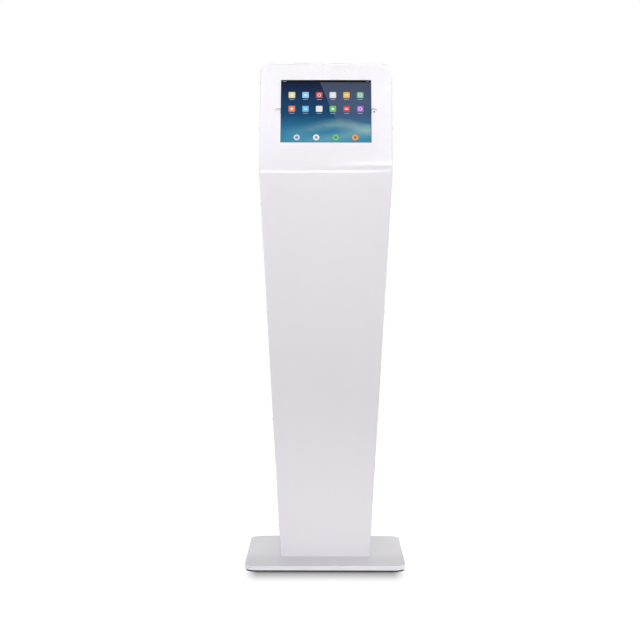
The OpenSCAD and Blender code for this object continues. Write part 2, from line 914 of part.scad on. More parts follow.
module cradle() {
    bay_w = tablet_w / 2 - cradle_bar_end - cradle_bar_mid / 2;
    bay_h = tablet_h - 2 * cradle_bar_side;
    outer_w = tablet_w + 2 * rim_out;
    outer_h = tablet_h + 2 * rim_out;
    color(dark_plastic) difference() {
        tablet_frame() {
            slab(cradle_d0, cradle_d1) {
                rounded_rect(outer_w, outer_h, tablet_r + rim_out);
                for (x = [-1, 1], s = [-1, 1]) translate([x * standoff_pitch / 2, s * standoff_s]) {
                    circle(ear_r);
                    translate([-ear_r, s > 0 ? -2 * ear_r : 0]) square(2 * ear_r);
                }
            }
            slab(case_d0 + glass_t, cradle_d0) difference() {
                rounded_rect(outer_w, outer_h, tablet_r + rim_out);
                rounded_rect(tablet_w + 2 * cradle_fit, tablet_h + 2 * cradle_fit, tablet_r + cradle_fit);
                cradle_notches();
            }
        }
        tablet_frame() slab(cradle_d0 - eps, cradle_d1 + eps)
            both_sides() translate([(bay_w + cradle_bar_mid) / 2, 0]) rounded_rect(bay_w, bay_h, tablet_r);
        standoff_places() depth_bar(cradle_d0 - eps, cradle_d1 + eps, screw_r + hole_fit);
    }
}

module cradle_pads() {
    color(dark_plastic) tablet_frame() slab(case_d1, cradle_d0)
        for (x = [-1, 0, 1], s = [-1, 1])
            translate([x * (tablet_w / 2 - pad_edge - pad_w / 2), s * (tablet_h / 2 - pad_edge - pad_h / 2)])
                rounded_rect(pad_w, pad_h, pad_r);
}

module cradle_standoffs() {
    color(zinc) standoff_places() difference() {
        depth_bar(panel_t, cradle_d0, standoff_r);
        depth_bar(panel_t + standoff_floor, cradle_d0 + eps, screw_r + hole_fit);
    }
}

module cradle_screws() {
    color(zinc) standoff_places() translate([0, cradle_d1, 0]) rotate([-90, 0, 0])
        button_screw(cradle_d1 - panel_t - standoff_floor - screw_tip);
}

// Tablet
module tablet_case() {
    color(silver) tablet_frame() difference() {
        slab(case_d0, case_d1) rounded_rect(tablet_w, tablet_h, tablet_r);
        slab(case_d0 - eps, case_d1 - case_t)
            rounded_rect(tablet_w - 2 * case_t, tablet_h - 2 * case_t, tablet_r - case_t);
        translate([tablet_w / 2, 0, power_s]) rotate([0, 0, 90])
            side_button_shape(power_l + 2 * button_fit, side_button_h + 2 * button_fit, case_t + eps, eps);
        translate([rocker_x, 0, -tablet_h / 2]) rotate([0, 90, 0]) rotate([0, 0, 90])
            side_button_shape(rocker_l + 2 * button_fit, side_button_h + 2 * button_fit, case_t + eps, eps);
        translate([-tablet_w / 2, 0, 0]) rotate([0, 0, 90])
            side_button_shape(port_slot_w, port_slot_h, eps, case_t + eps);
    }
}

// A pill that stands through the case's edge wall: x is the way out after the caller's turn
module side_button_shape(l, h, inside, outside) {
    rotate([0, 0, -90]) translate([-inside, side_button_d, 0]) rotate([90, 0, 90])
        linear_extrude(inside + outside) rotate(90) slot_outline(l, h);
}

module tablet_glass() {
    color("white") tablet_frame() difference() {
        slab(glass_d, case_d0) difference() {
            rounded_rect(tablet_w, tablet_h, tablet_r);
            square([display_w, display_h], center = true);
        }
        translate([-port_x, 0, 0]) depth_bar(glass_d - eps, case_d0 + eps, button_r + button_fit);
        translate([port_x, 0, 0]) depth_bar(glass_d - eps, case_d0 + eps, lens_r + hole_fit);
    }
}

module tablet_display() {
    color([0.05, 0.25, 0.4]) tablet_frame() slab(glass_d, case_d0)
        square([display_w, display_h], center = true);
}

module tablet_battery() {
    color(dark_plastic) tablet_frame() slab(case_d0 + pocket_gap, case_d1 - case_t)
        translate([battery_shift, 0]) rounded_rect(battery_w, battery_h, battery_r);
}

module tablet_board() {
    board_x = battery_shift - (battery_w + board_w) / 2 - board_gap;
    color([0.05, 0.2, 0.1]) tablet_frame() slab(case_d1 - case_t - board_t, case_d1 - case_t)
        translate([board_x, -board_drop]) rounded_rect(board_w, board_h, board_r);
}

module home_button() {
    color("white") tablet_frame() translate([-port_x, 0, 0]) depth_bar(glass_d, case_d0 + button_stem, button_r);
}

module camera_lens() {
    color(dark_plastic) tablet_frame() translate([port_x, 0, 0]) depth_bar(glass_d, case_d0 + lens_stem, lens_r);
}

module power_button() {
    color(silver) tablet_frame() translate([tablet_w / 2, 0, power_s]) rotate([0, 0, 90])
        side_button_shape(power_l, side_button_h, side_button_in, side_button_out);
}

// The rocker tips about a round pivot at its inner face
module volume_rocker() {
    color(silver) tablet_frame() translate([rocker_x, 0, -tablet_h / 2]) {
        rotate([0, 90, 0]) rotate([0, 0, 90])
            side_button_shape(rocker_l, side_button_h, side_button_in, side_button_out);
        translate([0, 0, side_button_in])
            depth_bar(side_button_d - side_button_h / 2, side_button_d + side_button_h / 2, rocker_pivot_r);
    }
}

floor_mat();
base_plate();
base_cover();
base_bolts();
foot_plate();
right_channel();
left_channel();
top_channel();
cross_rail();
front_panel();
panel_screws();
column_back();
back_screws();
cable_grommet();
hinge_frame_leaf();
hinge_pin();
hinge_frame_rivets();
tablet_door();
hinge_door_leaf();
hinge_door_rivets();
lock_barrel();
lock_nut();
lock_plug();
lock_cam();
lock_cam_screw();
cradle();
cradle_pads();
cradle_standoffs();
cradle_screws();
window_gasket();
tablet_case();
tablet_glass();
tablet_display();
tablet_battery();
tablet_board();
home_button();
camera_lens();
power_button();
volume_rocker();
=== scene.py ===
import json
import math

import bmesh
import bpy
from mathutils import Matrix, Vector


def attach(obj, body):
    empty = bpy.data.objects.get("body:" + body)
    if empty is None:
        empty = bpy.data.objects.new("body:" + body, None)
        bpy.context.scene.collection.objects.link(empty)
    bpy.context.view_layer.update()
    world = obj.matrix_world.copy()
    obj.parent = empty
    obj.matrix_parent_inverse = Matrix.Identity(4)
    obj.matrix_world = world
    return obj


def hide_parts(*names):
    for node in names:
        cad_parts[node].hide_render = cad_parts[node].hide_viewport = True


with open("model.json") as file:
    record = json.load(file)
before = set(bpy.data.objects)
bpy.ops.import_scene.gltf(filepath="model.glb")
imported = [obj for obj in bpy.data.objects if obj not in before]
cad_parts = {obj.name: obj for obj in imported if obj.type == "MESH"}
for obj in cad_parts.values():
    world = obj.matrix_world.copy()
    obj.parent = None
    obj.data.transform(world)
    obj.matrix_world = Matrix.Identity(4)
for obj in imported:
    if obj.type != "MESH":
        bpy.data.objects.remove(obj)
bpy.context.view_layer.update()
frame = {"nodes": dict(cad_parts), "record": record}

# ---- Sizes of the stand, in metres ----

MM = 0.001
# The column is widest at the fold
BODY_W, FOOT_W = 299 * MM, 201 * MM
DECK_Z, FOLD_Z = 14 * MM, 878 * MM
FRONT_Y, FOLD_R = -73 * MM, 85 * MM
HEAD_L, CORNER_R = 240 * MM, 27 * MM
TILT = math.radians(19)
DEPTH, PANEL_T, RETURN_D = 50 * MM, 2.5 * MM, 22 * MM
BASE_W, BASE_R = 356 * MM, 27 * MM
MAT_T, PLATE_T, MAT_INSET = 4 * MM, 5 * MM, 3 * MM
# Places up the slope of the head end in S, depths in from its front face in D
WINDOW_W, WINDOW_H, WINDOW_S = 205 * MM, 154 * MM, 121.3 * MM
PORT_X, PORT_R = 109.2 * MM, 6.2 * MM
LOCK_S, DOOR_D = 209.3 * MM, 50.3 * MM
GLASS_D, SCREW_D = 3.5 * MM, 13.25 * MM

# The head's own frame: x across, y in from the front face, z up the slope
HEAD = (
    Matrix.Translation((0, FRONT_Y + FOLD_R, FOLD_Z))
    @ Matrix.Rotation(-TILT, 4, "X")
    @ Matrix.Translation((0, -FOLD_R, 0))
)
SLOPE = Vector((0, math.sin(TILT), math.cos(TILT)))
SIDE_LEAN = math.atan((BODY_W - FOOT_W) / 2 / (FOLD_Z - DECK_Z))


def column_half(z):
    """Half of the column's width at a height."""
    return FOOT_W / 2 + (BODY_W - FOOT_W) / 2 * (z - DECK_Z) / (FOLD_Z - DECK_Z)


# ---- Finishes ----


class Tone:
    """A socket's value in a recipe. Arithmetic on a number adds Math nodes to that recipe."""

    def __init__(self, recipe, socket):
        self.recipe, self.socket = recipe, socket

    def math(self, operation, *values):
        return self.recipe.add("ShaderNodeMath", {"operation": operation}, dict(enumerate(values)))

    def __add__(self, other):
        return self.math("ADD", self, other)

    def __sub__(self, other):
        return self.math("SUBTRACT", self, other)

    def __rsub__(self, other):
        return self.math("SUBTRACT", other, self)

    def __mul__(self, other):
        return self.math("MULTIPLY", self, other)

    def __truediv__(self, other):
        return self.math("DIVIDE", self, other)

    def __rtruediv__(self, other):
        return self.math("DIVIDE", other, self)

    def __pow__(self, other):
        return self.math("POWER", self, other)

    def __abs__(self):
        return self.math("ABSOLUTE", self)

    __radd__ = __add__
    __rmul__ = __mul__

    def floor(self):
        return self.math("FLOOR", self)

    def over(self, edge):
        return self.math("GREATER_THAN", self, edge)

    def under(self, edge):
        return self.math("LESS_THAN", self, edge)

    def most(self, other):
        return self.math("MAXIMUM", self, other)

    def limit(self):
        return self.math("MAXIMUM", self.math("MINIMUM", self, 1.0), 0.0)

    def sine(self):
        return self.math("SINE", self)

    def swing(self, width):
        """A noise between nought and one, as a swing of this width about nought."""
        return (self - 0.5) * width

    def bell(self):
        """One at nought, falling softly to nought on both sides."""
        return self.math("EXPONENT", self * self * -1.0)


class Recipe:
    """A node tree, built node by node."""

    def __init__(self, owner, surface):
        owner.use_nodes = True
        self.tree = owner.node_tree
        self.surface = next(n for n in self.tree.nodes if n.type == surface)

    def add(self, kind, settings=None, sockets=None, out=0):
        node = self.tree.nodes.new(kind)
        for name, value in (settings or {}).items():
            if name == "stops":
                ramp = node.color_ramp
                while len(ramp.elements) < len(value):
                    ramp.elements.new(1.0)
                for element, (place, colour) in zip(ramp.elements, value):
                    element.position = place
                    element.color = (*colour, 1.0)
            elif name == "interpolation" and kind == "ShaderNodeValToRGB":
                node.color_ramp.interpolation = value
            else:
                setattr(node, name, value)
        for key, value in (sockets or {}).items():
            self.feed(node.inputs[key], value)
        return Tone(self, node.outputs[out])

    def feed(self, socket, value):
        if isinstance(value, Tone):
            self.tree.links.new(value.socket, socket)
        elif isinstance(value, tuple) and len(value) == 3 and socket.type == "RGBA":
            socket.default_value = (*value, 1.0)
        else:
            socket.default_value = value

    def give(self, **sockets):
        for name, value in sockets.items():
            self.feed(self.surface.inputs[name.replace("_", " ")], value)

    def place(self, location=(0, 0, 0), rotation=(0, 0, 0), scale=(1, 1, 1)):
        point = self.add("ShaderNodeTexCoord", out="Object")
        return self.add(
            "ShaderNodeMapping",
            {"vector_type": "TEXTURE"},
            {"Vector": point, "Location": location, "Rotation": rotation, "Scale": scale},
        )

    def parts(self, vector):
        node = self.add("ShaderNodeSeparateXYZ", sockets={0: vector}).socket.node
        return [Tone(self, socket) for socket in node.outputs]

    def in_head(self, across, depth, up):
        """Millimetres from a point of the head: across, in from the front face and up the slope."""
        middle = HEAD @ Vector((across, depth, up))
        return self.parts(self.place(tuple(middle), (-TILT, 0, 0), (MM, MM, MM)))

    def noise(self, vector, scale, detail=2.0, roughness=0.5):
        return self.add(
            "ShaderNodeTexNoise",
            sockets={"Vector": vector, "Scale": scale, "Detail": detail, "Roughness": roughness},
        )

    def cells(self, vector, scale):
        return self.add(
            "ShaderNodeTexVoronoi", {"feature": "F1"}, {"Vector": vector, "Scale": scale}
        )

    def ramp(self, share, stops, interpolation="LINEAR"):
        return self.add(
            "ShaderNodeValToRGB", {"interpolation": interpolation, "stops": stops}, {0: share}
        )

    def mix(self, share, low, high):
        return self.add(
            "ShaderNodeMix", {"data_type": "RGBA"}, {0: share, 6: low, 7: high}, out=2
        )

    def seen(self):
        """One for what the camera sees, straight or in a mirror or through glass, else nought."""
        path = self.add("ShaderNodeLightPath").socket.node
        direct, mirrored, through = (
            Tone(self, path.outputs["Is %s Ray" % kind])
            for kind in ("Camera", "Glossy", "Transmission")
        )
        return direct.most(mirrored).most(through)

    def bump(self, height, strength, distance):
        return self.add(
            "ShaderNodeBump",
            sockets={"Height": height, "Strength": strength, "Distance": distance},
        )


class Finish(Recipe):
    """One procedural material."""

    def __init__(self, name, **constants):
        self.material = bpy.data.materials.new(name)
        super().__init__(self.material, "BSDF_PRINCIPLED")
        self.give(**constants)


WHITE = (0.812, 0.795, 0.838)
# Painted shade: a near black laid on the cut edge of the screen window and its ports, in place of
# the shade on their walls
CUT_EDGE_SHADE = (0.05, 0.05, 0.055)
# In millimetres: how far round the window the painted edge shade may show, its first depth and its
# fade
EDGE_SHADE_REACH, EDGE_SHADE_START, EDGE_SHADE_FADE = 2.0, 0.5, 0.2


def powder_coat(name, colour, gloss, clear, shaded_edge=False):
    """White coat: a faint cloudiness, a fine skin like orange peel, and a clear gloss on top.

    With a shaded edge, the coat has painted shade on the cut edge of the screen window, behind its
    eased rim, where its walls fall in shade.
    """
    coat = Finish(name, Coat_Weight=clear, Coat_Roughness=gloss, IOR=1.45)
    where = coat.place()
    cloud = coat.noise(where, scale=6.0, detail=3.0)
    grain = coat.noise(where, scale=420.0)
    peel = coat.noise(where, scale=900.0, detail=1.0)
    dim = tuple(c * 0.975 for c in colour)
    shade = coat.mix(cloud.swing(0.9) + grain.swing(0.35) + 0.5, dim, colour)
    # Painted shade: the window's cut edge turns near black past the eased rim
    if shaded_edge:
        x, depth, up = coat.in_head(0, 0, WINDOW_S)
        across = (PORT_X + PORT_R) / MM + EDGE_SHADE_REACH - abs(x)
        along = WINDOW_H / 2 / MM + EDGE_SHADE_REACH - abs(up)
        inside = ((depth - EDGE_SHADE_START) / EDGE_SHADE_FADE).limit()
        shade = coat.mix(across.limit() * along.limit() * inside, shade, CUT_EDGE_SHADE)
    coat.give(
        Base_Color=shade,
        Roughness=cloud.swing(0.08) + grain.swing(0.06) + 0.42,
        Normal=coat.bump(peel + cloud * 0.4, strength=0.015, distance=0.0004),
    )
    return coat.material


def rubber():
    skin = Finish("black_rubber", Specular_IOR_Level=0.3)
    where = skin.place()
    fine = skin.noise(where, scale=700.0, detail=3.0)
    dust = skin.noise(where, scale=30.0, detail=4.0, roughness=0.65)
    skin.give(
        Base_Color=skin.mix(dust, (0.010, 0.010, 0.011), (0.026, 0.026, 0.027)),
        Roughness=dust * 0.2 + 0.68,
        Normal=skin.bump(fine, strength=0.25, distance=0.0003),
    )
    return skin.material


def plated(name, colour, roughness, along):
    """Bright metal with fine draw marks along one direction."""
    metal = Finish(name, Metallic=1.0)
    marks = metal.noise(metal.place(scale=along), scale=1500.0)
    cloud = metal.noise(metal.place(), scale=40.0, detail=3.0)
    dark = tuple(c * 0.8 for c in colour)
    metal.give(
        Base_Color=metal.mix(marks * 0.6 + cloud * 0.4, dark, colour),
        Roughness=marks.swing(0.16) + cloud.swing(0.1) + roughness,
        Normal=metal.bump(marks, strength=0.08, distance=0.0002),
    )
    return metal.material


def moulded_plastic():
    skin = Finish("black_plastic")
    where = skin.place()
    grain = skin.cells(where, scale=1100.0)
    cloud = skin.noise(where, scale=25.0, detail=3.0)
    skin.give(
        Base_Color=skin.mix(cloud, (0.022, 0.022, 0.024), (0.038, 0.038, 0.041)),
        Roughness=cloud * 0.12 + grain * 0.1 + 0.42,
        Normal=skin.bump(grain, strength=0.2, distance=0.0002),
    )
    return skin.material


def closed_cell_foam():
    skin = Finish("black_foam", Specular_IOR_Level=0.2)
    pores = skin.cells(skin.place(), scale=1700.0)
    skin.give(
        Base_Color=skin.mix(pores, (0.012, 0.012, 0.013), (0.034, 0.034, 0.036)),
        Roughness=pores * 0.1 + 0.85,
        Normal=skin.bump(1 - pores, strength=0.5, distance=0.0004),
    )
    return skin.material


def blasted_aluminium():
    metal = Finish("tablet_aluminium", Metallic=1.0)
    where = metal.place()
    beads = metal.noise(where, scale=2200.0, detail=1.0)
    cloud = metal.noise(where, scale=18.0)
    metal.give(
        Base_Color=metal.mix(cloud, (0.66, 0.67, 0.69), (0.74, 0.75, 0.77)),
        Roughness=beads * 0.1 + 0.36,
        Normal=metal.bump(beads, strength=0.12, distance=0.0001),
    )
    return metal.material


def white_glass():
    glass = Finish("white_glass", Coat_Weight=0.6, Coat_Roughness=0.03, IOR=1.5)
    smear = glass.noise(glass.place(), scale=35.0, detail=4.0, roughness=0.6)
    glass.give(
        Base_Color=glass.mix(smear, (0.80, 0.80, 0.81), (0.84, 0.84, 0.85)),
        Roughness=smear * 0.06 + 0.06,
    )
    return glass.material


def dark_lens():
    """A camera eye: dark glass with a paler iris ring near its middle."""
    iris_in, iris_out = 0.95, 1.2
    lens = Finish("lens_glass", Coat_Weight=1.0, Coat_Roughness=0.02)
    x, _, s = lens.in_head(PORT_X, 0, WINDOW_S)
    radius = (x * x + s * s) ** 0.5
    ring = radius.over(iris_in) * radius.under(iris_out)
    lens.give(
        Base_Color=lens.mix(ring, (0.006, 0.007, 0.012), (0.09, 0.09, 0.10)),
        Roughness=ring * 0.25 + 0.07,
    )
    return lens.material


def battery_wrap():
    wrap = Finish("battery_wrap")
    crease = wrap.noise(wrap.place(), scale=60.0, detail=4.0, roughness=0.6)
    wrap.give(
        Base_Color=wrap.mix(crease, (0.04, 0.04, 0.045), (0.075, 0.075, 0.08)),
        Roughness=crease * 0.3 + 0.3,
        Normal=wrap.bump(crease, strength=0.3, distance=0.001),
    )
    return wrap.material


def board_mask():
    """Solder mask with rows of bright pads."""
    pads_across, pads_up = 400.0, 250.0
    board = Finish("board_green")
    x, _, z = board.parts(board.place())

    def off_middle(value, per_metre):
        lanes = value * per_metre
        return abs(lanes - lanes.floor() - 0.5)

    pad = off_middle(x, pads_across).under(0.18) * off_middle(z, pads_up).under(0.3)
    board.give(
        Base_Color=board.mix(pad, (0.02, 0.10, 0.045), (0.6, 0.5, 0.3)),
        Metallic=pad * 0.9,
        Roughness=0.45 - pad * 0.15,
    )
    return board.material


def display_picture():
    """A kiosk start page of the stand's own: tiles over a blue dusk, under glass.

    Its sizes are in millimetres from the middle of the window.
    """
    page_w, page_h = 206.0, 154.0
    black = (0.004, 0.004, 0.006)
    page = Finish("display_glass", IOR=1.5, Specular_IOR_Level=0.05, Emission_Strength=1.0)
    x, _, s = page.in_head(0, GLASS_D, WINDOW_S)
    rise = s / page_h + 0.5
    rightward = x / page_w + 0.5

    def bar(value, centre, half, soft=0.5):
        return ((half - abs(value - centre)) / soft + 0.5).limit()

    def disc(across, up, radius, soft=0.5):
        return ((radius - (across * across + up * up) ** 0.5) / soft + 0.5).limit()

    def tile(across, up, half, corner, soft=0.5):
        over_x = (abs(across) - (half - corner)).most(0.0)
        over_y = (abs(up) - (half - corner)).most(0.0)
        return disc(over_x, over_y, corner, soft)

    dusk = page.ramp(rise, [
        (0.0, (0.045, 0.27, 0.42)), (0.2, (0.024, 0.18, 0.33)), (0.45, (0.006, 0.058, 0.15)),
        (0.7, (0.005, 0.036, 0.10)), (0.96, (0.004, 0.008, 0.034)),
    ])
    # Two soft hills of light across the lower half
    far_hill = (x * 0.030 + 0.8).sine() * 9.0 - 40.0
    near_hill = (x * 0.021 - 0.9).sine() * 12.0 - 58.0
    far_glow = bar(s, far_hill, 9.0, soft=16.0) * rightward
    near_glow = bar(s, near_hill, 10.0, soft=20.0) * rightward
    drift = page.place(scale=(1, 1, 0.5))
    mist = page.noise(drift, scale=55.0, detail=3.0, roughness=0.6) * 0.9 + 0.45
    scene = page.mix(far_glow * mist * 0.75, dusk, (0.30, 0.50, 0.49))
    scene = page.mix(near_glow * mist * 0.55, scene, (0.30, 0.54, 0.52))
    # Painted reflection: a paler facet towards the upper right, a glare on the glass
    painted_glare = ((x + s * 0.38 - 14.0) / 2.0 + 0.5).limit() * (rise * 1.6).limit()
    scene = page.mix(painted_glare * 0.20, scene, (0.27, 0.31, 0.42))

    # Two rows of six tiles, with a caption bar under each
    pitch_x, pitch_s, rows_s = 31.0, 34.0, 24.0
    columns, count = 6.0, 12.0
    col = (x / pitch_x).floor()
    row = ((s - rows_s) / pitch_s).floor()
    across = x - (col + 0.5) * pitch_x
    up = s - rows_s - (row + 0.5) * pitch_s
    in_rows = bar(row, -0.5, 0.9, soft=0.2) * bar(col, -0.5, 2.9, soft=0.2)
    index = col + columns / 2 + (row + 1.0) * columns
    hue = page.ramp((index + 0.5) / count, [
        (0.0, (0.85, 0.20, 0.06)), (0.08, (0.12, 0.45, 0.80)), (0.165, (0.80, 0.78, 0.74)),
        (0.25, (0.16, 0.50, 0.10)), (0.33, (0.62, 0.05, 0.06)), (0.415, (0.40, 0.14, 0.55)),
        (0.5, (0.78, 0.72, 0.35)), (0.58, (0.30, 0.55, 0.85)), (0.665, (0.55, 0.08, 0.06)),
        (0.75, (0.75, 0.75, 0.78)), (0.83, (0.85, 0.45, 0.05)), (0.915, (0.22, 0.50, 0.30)),
    ], "CONSTANT")
    body = tile(across, up, half=7.4, corner=2.2) * in_rows
    # The motif is a dot, two bars or a ring, in turn
    kinds = 3.0
    kind = index - (index / kinds).floor() * kinds
    dot = disc(across, up, 3.4) * kind.under(0.5)
    pair = (bar(up, 1.8, 0.9) + bar(up, -1.8, 0.9)).limit()
    bars = pair * bar(across, 0.0, 4.4) * bar(kind, 1.0, 0.5, soft=0.1)
    ring = (disc(across, up, 4.3) - disc(across, up, 2.6)) * kind.over(1.5)
    motif = (dot + bars + ring).limit() * body
    scene = page.mix(body, scene, hue)
    scene = page.mix(motif * 0.8, scene, (0.86, 0.87, 0.88))
    caption = bar(across, 0.0, 5.5) * bar(up, -11.2, 0.6) * in_rows
    scene = page.mix(caption * 0.45, scene, (0.8, 0.82, 0.85))

    # Four round buttons along the foot of the page
    pitch_foot, foot_line, buttons = 44.0, -63.0, 4.0
    turn = (x / pitch_foot).floor()
    foot_x = x - (turn + 0.5) * pitch_foot
    foot_s = s - foot_line
    in_foot = bar(turn, -0.5, 1.9, soft=0.2)
    knob = disc(foot_x, foot_s, 7.2) * in_foot
    knob_hue = page.ramp((turn + buttons / 2 + 0.5) / buttons, [
        (0.0, (0.55, 0.68, 0.82)), (0.25, (0.82, 0.83, 0.85)),
        (0.5, (0.20, 0.55, 0.18)), (0.75, (0.86, 0.36, 0.05)),
    ], "CONSTANT")
    scene = page.mix(knob, scene, knob_hue)
    scene = page.mix(disc(foot_x, foot_s, 3.2) * in_foot * 0.75, scene, (0.05, 0.12, 0.22))

    # A black band along the top with three pale marks
    band_edge, mark_line = 72.6, 74.8
    dots = disc(x - 96.0, s - mark_line, 0.9) + disc(x - 92.5, s - mark_line, 0.9)
    dash = bar(x, -94.0, 4.0) * bar(s, mark_line, 0.6)
    scene = page.mix(s.over(band_edge), scene, black)
    scene = page.mix((dots + dash).limit() * 0.5, scene, (0.7, 0.7, 0.72))
    # The panel's unlit rim
    lit = bar(x, 0.0, 101.6, soft=0.3) * bar(s, 0.0, 76.2, soft=0.3)
    scene = page.mix(1 - lit, scene, black)
    smear = page.noise(page.place(), scale=30.0, detail=4.0, roughness=0.6)
    page.give(
        Base_Color=(0.004, 0.005, 0.007), Emission_Color=scene, Roughness=smear * 0.05 + 0.05
    )
    return page.material


FINISHES = {
    "white_coat": powder_coat("white_coat", WHITE, gloss=0.1, clear=0.8),
    "shell_coat_edge_shade": powder_coat("shell_coat_edge_shade", WHITE, gloss=0.1, clear=0.8, shaded_edge=True),
    "base_coat": powder_coat("base_coat", WHITE, gloss=0.05, clear=0.4),
    "black_rubber": rubber(),
    "zinc_steel": plated("zinc_steel", (0.62, 0.63, 0.66), 0.36, along=(1, 1, 0.05)),
    "hinge_steel": plated("hinge_steel", (0.64, 0.64, 0.65), 0.34, along=(0.03, 1, 1)),
    "lock_chrome": plated("lock_chrome", (0.74, 0.74, 0.75), 0.18, along=(1, 0.1, 1)),
    "black_plastic": moulded_plastic(),
    "black_foam": closed_cell_foam(),
    "tablet_aluminium": blasted_aluminium(),
    "white_glass": white_glass(),
    "display_glass": display_picture(),
    "lens_glass": dark_lens(),
    "battery_wrap": battery_wrap(),
    "board_green": board_mask(),
}


# ---- Modelling by operators ----

# Lengths closer than this count as equal, in metres
TOUCH = 1e-5
# A face looks along an axis, or lies round it, within these shares of its normal
HEAD_ON, SIDE_ON = 0.999, 0.1


def begin():
    """Object mode, with nothing selected."""
    if bpy.context.object and bpy.context.object.mode != "OBJECT":
        bpy.ops.object.mode_set(mode="OBJECT")
    bpy.ops.object.select_all(action="DESELECT")


def only(piece):
    begin()
    piece.select_set(True)
    bpy.context.view_layer.objects.active = piece


def settle(piece):
    """Puts the piece's place, turn and size into its mesh."""
    only(piece)
    bpy.ops.object.transform_apply(location=True, rotation=True, scale=True)


def block(name, low, high):
    """A box between two corners."""
    begin()
    low, high = Vector(low), Vector(high)
    bpy.ops.mesh.primitive_cube_add(size=1, location=(low + high) / 2)
    piece = bpy.context.object
    piece.name = piece.data.name = name
    piece.scale = high - low
    settle(piece)
    return piece


def rod(name, radius, low, high, sides=48):
    """A round bar along the depth, y, between two depths."""
    begin()
    bpy.ops.mesh.primitive_cylinder_add(
        vertices=sides, radius=radius, depth=high - low,
        location=(0, (low + high) / 2, 0), rotation=(math.pi / 2, 0, 0),
    )
    piece = bpy.context.object
    piece.name = piece.data.name = name
    settle(piece)
    return piece


def pick(piece, kind, test):
    """Edit mode, with just the corners, edges or faces that pass the test selected."""
    only(piece)
    bpy.ops.object.mode_set(mode="EDIT")
    bpy.ops.mesh.select_mode(type=kind)
    bpy.ops.mesh.select_all(action="DESELECT")
    shape = bmesh.from_edit_mesh(piece.data)
    shape.normal_update()
    parts = {"VERT": shape.verts, "EDGE": shape.edges, "FACE": shape.faces}[kind]
    for part in [p for p in parts if test(p)]:
        part.select_set(True)
    shape.select_flush_mode()
    bmesh.update_edit_mesh(piece.data)


def done():
    bpy.ops.object.mode_set(mode="OBJECT")


def bevel(width, segments, affect="EDGES"):
    bpy.ops.mesh.bevel(offset=width, segments=segments, affect=affect, profile=0.5)


def inset_rings(rings):
    """Insets the chosen faces ring by ring, each by a width and a depth in millimetres."""
    for width, rise in rings:
        bpy.ops.mesh.inset(thickness=width * MM, depth=rise * MM)


def looks(axis, way):
    """A test for faces that look along an axis, 1, against it, -1, or lie round it, 0."""
    def test(face):
        share = face.normal[axis]
        return share * way > HEAD_ON if way else abs(share) < SIDE_ON
    return test


NEAR_END, FAR_END, ROUND_WALL = looks(1, -1), looks(1, 1), looks(1, 0)
UNDERSIDE, TOP, UPRIGHT = looks(2, -1), looks(2, 1), looks(2, 0)


def ease(piece, test_a, test_b, width, segments):
    """Bevels the edges between faces that pass one test and faces that pass the other."""
    def between(edge):
        if len(edge.link_faces) != 2:
            return False
        a, b = edge.link_faces
        return (test_a(a) and test_b(b)) or (test_a(b) and test_b(a))
    pick(piece, "EDGE", between)
    bevel(width, segments)
    done()


def finish_with(piece, kind, **settings):
    only(piece)
    modifier = piece.modifiers.new(kind.lower(), kind)
    for name, value in settings.items():
        setattr(modifier, name, value)
    bpy.ops.object.modifier_apply(modifier=modifier.name)


def cut(piece, cutter):
    """Takes the cutter's shape out of the piece. The cutter is used up."""
    finish_with(piece, "BOOLEAN", operation="DIFFERENCE", object=cutter, solver="EXACT")
    bpy.data.objects.remove(cutter)


def round_edges(piece, width, segments=2, angle=40):
    finish_with(
        piece, "BEVEL", width=width, segments=segments, limit_method="ANGLE",
        angle_limit=math.radians(angle), use_clamp_overlap=True, miter_outer="MITER_ARC",
    )


def smooth(piece, angle=35):
    only(piece)
    bpy.ops.object.shade_smooth_by_angle(angle=math.radians(angle))
    finish_with(piece, "WEIGHTED_NORMAL", keep_sharp=True, weight=50)


def move(piece, matrix):
    piece.matrix_world = matrix @ piece.matrix_world
    settle(piece)


def copies(pattern, places, name):
    """Copies of one pattern at each place, joined into one piece. The pattern is used up."""
    made = []
    for place in places:
        twin = pattern.copy()
        twin.data = pattern.data.copy()
        bpy.context.scene.collection.objects.link(twin)
        move(twin, place)
        made.append(twin)
    bpy.data.objects.remove(pattern)
    only(made[0])
    for twin in made[1:]:
        twin.select_set(True)
    bpy.ops.object.join()
    made[0].name = made[0].data.name = name
    return made[0]


def fit(piece, body, finish, slot, *nodes):
    """Gives a piece its finish and its body, and hides the CAD nodes that it stands for. The slot
    is not used.
    """
    piece.data.materials.clear()
    piece.data.materials.append(FINISHES[finish])
    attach(piece, body)
    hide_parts(*nodes)


def softened(node, name, width, segments):
    """A copy of a CAD node with its corners welded and its sharp edges eased."""
    weld, flat = 0.06 * MM, math.radians(0.5)
    source = frame["nodes"][node]
    piece = source.copy()
    piece.data = source.data.copy()
    for key in list(piece.keys()):
        del piece[key]
    bpy.context.scene.collection.objects.link(piece)
    piece.parent = None
    piece.name = piece.data.name = name
    only(piece)
    bpy.ops.mesh.customdata_custom_splitnormals_clear()
    pick(piece, "VERT", lambda v: True)
    bpy.ops.mesh.remove_doubles(threshold=weld)
    bpy.ops.mesh.dissolve_limited(angle_limit=flat)
    done()
    round_edges(piece, width, segments)
    smooth(piece)
    return piece


def fit_softened(node, name, body, finish, width, segments=2):
    """Puts a softened copy of a CAD node in its place. The width is in millimetres."""
    fit(softened(node, name, width * MM, segments), body, finish, finish, node)


# ---- Base ----

ANCHOR_R, ANCHOR_X, ANCHOR_Y = 4.5 * MM, 70 * MM, (128 * MM, 28 * MM)
# The length of the anchor holes' cutters, which pass through any plate
ANCHOR_CUT = 40 * MM
SEAT_Z = MAT_T + PLATE_T


